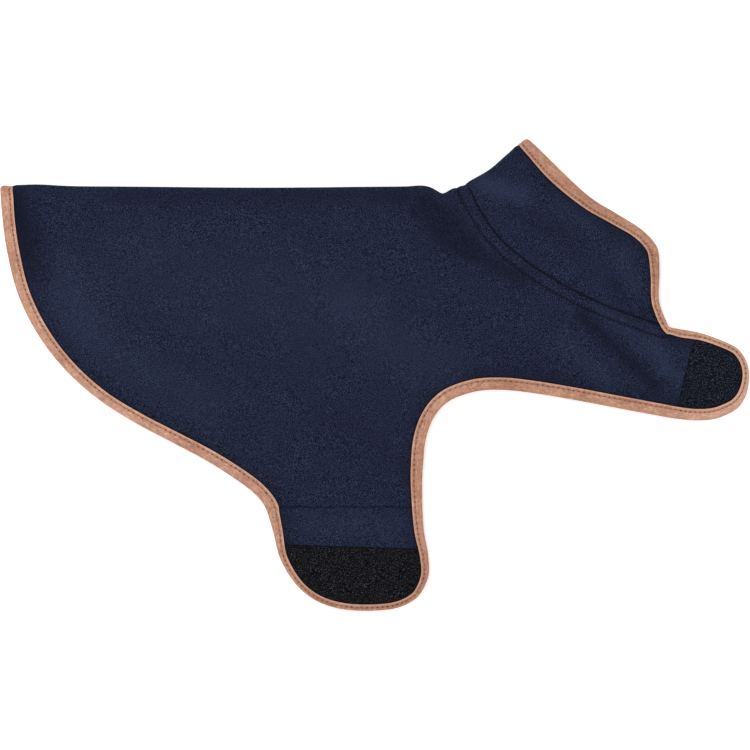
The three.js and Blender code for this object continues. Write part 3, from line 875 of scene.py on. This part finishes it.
class Path:
    """The tape's course: where its outer edge runs, which way its cloth and its upper face lie, how wide it is."""

    def __init__(self, upper):
        middle_of_tape = edge + across * width[:, None] * 0.5
        shift = fold_shift(edge)
        height = lie(middle_of_tape, upper)
        origin = np.column_stack([edge + shift, height])
        inward = np.column_stack([across, np.zeros(len(edge))])
        up = np.tile([0.0, 0.0, 1.0], (len(edge), 1))
        wide = width
        if upper:
            ends = []
            for corner, into, out in ((edge[0], [1.0, 0.0], [0.0, 1.0]), (edge[-1], -NAPE_DIR, NAPE_OUT)):
                angle = np.linspace(0, math.pi, 11)[1:]
                facing = np.column_stack([np.outer(np.sin(angle), out), np.cos(angle)])
                corner = corner + fold_shift(corner[None])[0]
                ends.append((np.array([*corner, ROLL_MID]) + facing * ROLL,
                             np.tile([*into, 0.0], (len(angle), 1)), facing))
            origin, inward, up = (np.vstack([tail[::-1], own, nape])
                                  for tail, own, nape in zip(ends[0], (origin, inward, up), ends[1]))
            wide = np.pad(width, len(angle), "edge")
            first, last = along(origin), along(origin[::-1])[::-1]
            for distance, radius in ((first, TAIL_ROUND), (last, NAPE_ROUND)):
                # past the fold the tape's corner is rounded, as its outer edge is pulled in there
                past = np.abs(distance - math.pi * ROLL / 2)
                cut_in = np.where(past < radius, radius - np.sqrt(np.maximum(radius ** 2 - (radius - past) ** 2, 0)), 0)
                origin = origin + inward * cut_in[:, None]
                wide = wide - cut_in
        self.run = along(origin)
        first = len(angle) if upper else 0
        self.cuts = {key: float(np.interp(cut, run, self.run[first:first + len(edge)])) for key, cut in CUTS.items()}
        self.table = np.column_stack([origin, inward, up, wide])

    def tone(self, distance):
        """How pale the tape is along its run: palest round the chest strap's tip, darkest on the belly strap and
        collar.
        """
        belly, leg, chest, collar = self.cuts.values()
        nape = self.run[-1]
        knots = {0.0: 0.6, belly: 0.55, (belly + leg) / 2: 0.2, leg: 0.3, chest - 20: 0.45, (chest + collar) / 2: 1.0,
                 collar: 0.5, (collar + nape) / 2: 0.15, nape: 0.3}
        return float(np.interp(distance, list(knots), list(knots.values())))

    def at(self, distances):
        found = at_distances(self.table, self.run, np.atleast_1d(distances))
        return found[:, :3], found[:, 3:6], unit(found[:, 6:9]), found[:, 9]


def tape_profile(wide, hole):
    """The tape's outer skin, from its lip round its fold to its other lip, as (in from the outer edge, height)."""
    rest = wide - 4.0
    rise = 1.32 + 0.42 * min(1.0, rest / 6)
    top = [(0.0, 1.02), (0.25, 1.26), (1.0, 1.4), (1.9, 1.3), (2.5, 1.02), (STITCH_INSET, 0.9 - 0.45 * hole),
           (3.3, 1.02), (4.0, 1.34)]
    top += [(4.0 + rest * f, h) for f, h in ((0.3, rise), (0.62, rise + 0.05))]
    turn = min(1.9, rest * 0.38)
    top += [(wide - turn * (1 - math.sin(a)), (rise + 0.05) * math.cos(a)) for a in (0.45, 0.95, 1.3)]
    top = [(wide - u, z, u) for u, z in top]
    return top + [(0.0, 0.0, wide)] + [(t, -z, u) for t, z, u in top[::-1]]


def make_tape(name, path, start, end, pitch, **rides):
    """A stretch of tape as a folded strip with a skin inside and outside, dimpled at each needle hole."""
    stitches = round((end - start) / pitch)
    stations = np.linspace(start, end, stitches * TAPE_STEPS + 1)
    origin, inward, up, wide = path.at(stations)
    points, lay, tone = [], [], []
    for i in range(len(stations)):
        profile = np.array(tape_profile(wide[i], 1.0 if i % TAPE_STEPS == 0 else 0.0))
        section = profile[:, :2]
        skin = section + left_normals(section) * TAPE_THICK
        for ring in (section, skin[::-1]):
            points.append(origin[i] + ring[:, :1] * inward[i] + ring[:, 1:] * up[i])
        lay += [(stations[i] * MM, from_lip * MM, i / TAPE_STEPS) for from_lip in (*profile[:, 2], *profile[::-1, 2])]
        tone += [path.tone(stations[i])] * 2 * len(profile)
    size = 2 * len(profile)
    points = np.vstack(points)
    faces = []
    for i in range(len(stations) - 1):
        a, b = i * size, (i + 1) * size
        faces += [(a + k, a + (k + 1) % size, b + (k + 1) % size, b + k) for k in range(size)]
    last = (len(stations) - 1) * size
    for k in range(len(profile) - 1):
        cap = (k, size - 1 - k, size - 2 - k, k + 1)
        faces += [cap, tuple(last + i for i in cap[::-1])]
    return make_piece(name + "_tape", points, faces, SUEDE, "suede_binding", sharp=62, lay=lay, laid=points * MM,
                      tone=tone, **rides)


def make_stitches(name, places, material, slot, **rides):
    """Thread dashes: places holds each one's five points, and which way is up at them."""
    sides = 6
    points, faces, lay = [], [], []
    for line, up in places:
        line, up = np.asarray(line), np.asarray(up)
        first = len(points)
        side = np.cross(up, unit(np.gradient(line, axis=0)))
        distance = along(line)
        for i, swell in enumerate((0.55, 0.95, 1.0, 0.95, 0.55)):
            for k in range(sides):
                angle = 2 * math.pi * k / sides
                off = side[i] * math.cos(angle) + up[i] * math.sin(angle)
                points.append(line[i] + off * THREAD_RADIUS * swell)
                lay.append((distance[i] * MM, angle, 0.0))
        for i in range(4):
            a, b = first + i * sides, first + (i + 1) * sides
            faces += [(a + k, b + k, b + (k + 1) % sides, a + (k + 1) % sides) for k in range(sides)]
        faces += [tuple(first + k for k in range(sides)), tuple(first + 4 * sides + k for k in range(sides))[::-1]]
    return make_piece(name, points, faces, material, slot, sharp=70, lay=lay, **rides)


def dashes_on_tape(path, start, end, pitch):
    """A dash between each two needle holes, on both faces of the tape."""
    holes = np.linspace(start, end, round((end - start) / pitch) + 1)
    places = []
    for a, b in zip(holes, holes[1:]):
        origin, inward, up, wide = path.at(a + (b - a) * np.array([0.17, 0.3, 0.5, 0.7, 0.83]))
        height = np.array([0.84, 1.14, 1.2, 1.14, 0.84])[:, None]
        for face in (1, -1):
            line = origin + inward * (wide[:, None] - STITCH_INSET) + up * height * face
            places.append((line, up * face))
    return places


# the tape's stretches from the tail to the nape, each from one cut to the next
STRETCHES = (("hem", STITCH_PITCH, "body"), ("belly", STITCH_PITCH, "belly_strap"), ("leg", STITCH_PITCH, "body"),
             ("chest", STITCH_PITCH, "chest_strap"), ("collar", COLLAR_PITCH, "collar"))
EXTRA_TAPES = {"right_hem": ["right_tail_binding", "tail_fold_binding"],
               "right_collar": ["right_nape_binding", "nape_fold_binding"]}
EXTRA_STITCHING = {"right_hem": ["right_tail_stitching"], "right_collar": ["right_nape_stitching"]}
trims = {key: [] for key in cloths}
for side in HALVES:
    path = Path(side == "right")
    cuts = [0.0, *path.cuts.values(), path.run[-1]]
    for (stretch, pitch, region), start, end in zip(STRETCHES, cuts, cuts[1:]):
        name = f"{side}_{stretch}"
        motion = {"body": "right_side"} if name == "right_leg" else HALVES[side][region]
        tape = make_tape(name, path, start, end, pitch, **motion)
        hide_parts(f"{name}_binding", *EXTRA_TAPES.get(name, []))
        dashes = dashes_on_tape(path, start, end, pitch)
        stitches = make_stitches(f"{name}_stitches", dashes, TAN, "tan_thread", **motion)
        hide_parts(f"{name}_stitching", *EXTRA_STITCHING.get(name, []))
        trims[side, region] += [tape, stitches]

# ---- Pads, seam allowances and the neck's topstitching ----

def make_pad(side, strap, kind, material):
    """A pad with its straight edge as in the CAD, and its other edge just inside the tape's lip."""
    node = f"{side}_{strap}_{kind}_pad"
    loop = top_outline(node)
    i = np.hypot(*(np.roll(loop, -1, axis=0) - loop).T).argmax()
    a, b = loop[i], loop[(i + 1) % len(loop)]
    off = np.array([(b - a)[1], -(b - a)[0]])
    lip = edge + across * (width + PAD_MARGIN)[:, None]
    lip = lip[(run > CUTS[f"{strap} start"]) & (run < CUTS[f"{strap} end"])]
    kept = lip[(lip - a) @ off * np.sign((loop.mean(axis=0) - a) @ off) > 0]
    outline = resample(np.vstack([kept, kept[0]]), 1.6)[:-1]
    ring = np.vstack([outline, outline[0]])
    open_pad = staggered(outline.min(axis=0), outline.max(axis=0), PAD_GRID)
    flat, faces = triangulate([ring], [(rows_beside(ring, (0.35, 0.9, 1.6), 1.6), 0.3), (open_pad, 0.6 * PAD_GRID)],
                              outline)
    away = distance_to(flat, ring)
    middle = lie(flat, side == "right")
    under = middle + half_thickness(flat)
    full = np.minimum(under, middle + CLOTH_HALF + 0.2)
    rise = PAD_RISE * np.sqrt(1 - (1 - np.clip(away / PAD_ROUND, 0, 1)) ** 2)
    straight = np.abs(distance_to(flat, np.array([a, b])) - 2.2)
    rise -= 0.3 * bell(straight, 0.7) * (away > 1)
    points, faces = closed(np.column_stack([flat, full + rise]), np.column_stack([flat, under - PAD_SUNK]),
                           [tuple(f) for f in faces.tolist()])
    light = 0.3 + 0.7 * smoothstep(0, 2.0, away)
    pad = make_piece(f"{side}_{strap}_{kind}_tape", points, faces, material, f"{kind}_pad",
                     body=f"{side}_{strap}_strap", light=np.tile(light, 2), laid=points * MM)
    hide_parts(node)
    trims[side, f"{strap}_strap"].append(pad)


for strap in ("belly", "chest"):
    make_pad("right", strap, "loop", LOOP[strap])
    make_pad("left", strap, "hook", HOOK)

ALLOWANCE_HALF = 0.3
for side in HALVES:
    upper = side == "right"
    node = f"{side}_belly_seam_allowance"
    low, high = box(node)
    xs = np.arange(low[0], high[0], 1.8)
    x, y = (grid.ravel() for grid in np.meshgrid(xs, np.linspace(SEAM_Y + 0.3, high[1], 7)))
    free = (y - SEAM_Y) / (high[1] - SEAM_Y)
    y = y + free * (0.5 * np.sin(x / 6.1) + 0.25 * np.sin(x / 2.2))
    flat = np.column_stack([x, y])
    face = -1 if upper else 1
    height = lie(flat, upper) + face * (half_thickness(flat) + ALLOWANCE_HALF + 0.04 + free * 0.12
                                        * (1 + np.sin(x / 9.0)))
    n = len(xs)
    keep = inside(flat, np.vstack([cloth_edge, WITHERS]))
    faces = [(i, i + 1, i + n + 1, i + n) for i in range(len(flat) - n) if (i + 1) % n]
    faces = [f for f in faces if keep[list(f)].all()]
    middle, faces, normal = part_of(np.column_stack([flat, height]), faces, np.tile([0.0, 0, 1], (len(flat), 1)))
    points, faces = shell(middle, normal, np.full(len(middle), ALLOWANCE_HALF), faces)
    strip = make_piece(f"{side}_belly_seam_fold", points, faces, FLEECE, "fleece",
                       body="right_side" if upper else "root", light=np.full(len(points), 0.8), laid=points * MM)
    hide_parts(node)
    trims[side, "body"].append(strip)

    # the neck's two rows of stitching, on both faces of the cloth
    places = []
    for row in (topstitch, edge_stitch):
        row = resample(row, 0.5)
        row = row[(depth(row) > 0.8) & (row[:, 1] < FOLD_Y - 1.5)]
        length = along(row)[-1]
        holes = np.linspace(0, length, round(length / NECK_PITCH) + 1)
        between = (holes[:-1, None] + np.diff(holes)[:, None] * np.array([0.08, 0.28, 0.5, 0.72, 0.92])).ravel()
        flat = at_distances(row, along(row), between)
        laid_flat = flat + fold_shift(flat)
        sunk = np.tile([-0.4, -0.12, -0.05, -0.12, -0.4], len(holes) - 1)
        for face in (1, -1):
            height = lie(flat, upper) + face * (half_thickness(flat) + sunk)
            lines = np.column_stack([laid_flat, height]).reshape(-1, 5, 3)
            places += [(line, np.tile([0.0, 0, face], (5, 1))) for line in lines]
    seam = make_stitches(f"{side}_neck_stitches", places, NAVY, "fleece", **HALVES[side]["body"])
    trims[side, "body"].append(seam)

# ---- Floor and light ----

bpy.ops.object.select_all(action="DESELECT")
bpy.ops.mesh.primitive_plane_add(size=6, location=(0, 0, 0))
floor = bpy.context.active_object
floor.name = "floor"
floor.data.materials.append(start_material(
    "white floor", 0.9, Specular_IOR_Level=0.1, Base_Color=(0.95, 0.95, 0.95, 1), Emission_Color=(1, 1, 1, 1),
    Emission_Strength=0.25)[0])

for name, place, size, power in (("key light", (-0.9, 1.1, 1.9), 1.5, 34.0),
                                 ("fill light", (1.4, -0.5, 1.9), 2.0, 18.0),
                                 ("low light", (-0.9, -1.4, 1.9), 2.0, 16.0)):
    lamp = bpy.data.lights.new(name, "AREA")
    lamp.size, lamp.energy = size, power
    lamp_object = bpy.data.objects.new(name, lamp)
    lamp_object.location = place
    lamp_object.rotation_euler = (-Vector(place)).to_track_quat("-Z", "Y").to_euler()
    bpy.context.scene.collection.objects.link(lamp_object)
world = bpy.data.worlds.new("studio")
world.use_nodes = True
sky = world.node_tree.nodes["Background"].inputs
sky[0].default_value, sky[1].default_value = (1, 1, 1, 1), 0.5
bpy.context.scene.world = world
bpy.context.scene.view_settings.view_transform = "Standard"
